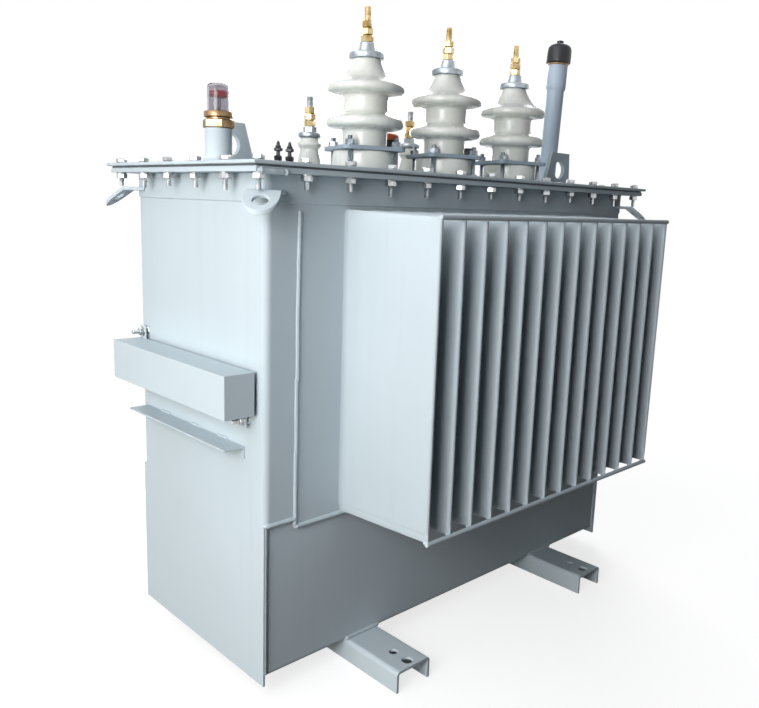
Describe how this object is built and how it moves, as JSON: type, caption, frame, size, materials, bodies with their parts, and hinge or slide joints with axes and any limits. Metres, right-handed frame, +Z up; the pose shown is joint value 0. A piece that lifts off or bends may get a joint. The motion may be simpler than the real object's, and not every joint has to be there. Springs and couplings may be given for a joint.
{
  "type": "distribution transformer",
  "caption": "Oil-filled three-phase transformer: finned rectangular tank on channel skids, bolted cover with porcelain bushings, oil gauge, filler pipe and lifting lugs.",
  "frame": {"origin": "on the ground under the middle of the tank", "axes": "+X along the tank away from the document box, +Y towards the low voltage bushings, +Z up"},
  "size_m": [1.1059, 0.822, 1.2315],
  "materials": {
    "tank_paint": "satin light blue-grey enamel",
    "clamp_paint": "satin dark blue-grey enamel",
    "porcelain": "glossy off-white glaze",
    "cap_metal": "turned, dull",
    "terminal_brass": "turned and threaded",
    "fitting_brass": "cast and turned",
    "gasket_rubber": "matt",
    "cap_rubber": "matt",
    "gauge_window": "clear",
    "gauge_float": "moulded",
    "tap_cap": "moulded",
    "tap_body": "moulded",
    "dark_steel": "darkened",
    "zinc_steel": "zinc plated"
  },
  "bodies": {
    "root": {"left_end_wall": "tank_paint", "right_end_wall": "tank_paint", "front_lower_wall": "tank_paint", "rear_lower_wall": "tank_paint", "front_panel": "tank_paint", "rear_panel": "tank_paint", "front_fins": "tank_paint", "rear_fins": "tank_paint", "fin_rods": "tank_paint", "tank_floor": "tank_paint", "tank_rim": "tank_paint", "tank_flange": "tank_paint", "cover_gasket": "gasket_rubber", "cover": "tank_paint", "hv_porcelain_1": "porcelain", "hv_porcelain_2": "porcelain", "hv_porcelain_3": "porcelain", "hv_clamp_1": "clamp_paint", "hv_clamp_2": "clamp_paint", "hv_clamp_3": "clamp_paint", "hv_terminal_1": "terminal_brass", "hv_terminal_2": "terminal_brass", "hv_terminal_3": "terminal_brass", "hv_caps": "cap_metal", "hv_gaskets": "gasket_rubber", "lv_porcelain_1": "porcelain", "lv_porcelain_2": "porcelain", "lv_porcelain_3": "porcelain", "lv_porcelain_4": "porcelain", "lv_caps": "cap_metal", "lv_terminals": "terminal_brass", "oil_gauge_neck": "tank_paint", "oil_gauge_fitting": "fitting_brass", "oil_gauge_window": "gauge_window", "oil_gauge_float": "gauge_float", "filler_tube": "tank_paint", "filler_collar": "fitting_brass", "filler_cover": "cap_rubber", "lifting_lug_left": "tank_paint", "lifting_lug_right": "tank_paint", "corner_lugs": "tank_paint", "document_box": "tank_paint", "document_box_studs": "zinc_steel", "document_shelf": "tank_paint", "skid_left": "tank_paint", "skid_right": "tank_paint", "tap_changer_body": "tap_body", "tap_changer_cap": "tap_cap", "thermometer_pocket": "dark_steel", "cover_studs": "dark_steel"}
  },
  "joints": []
}
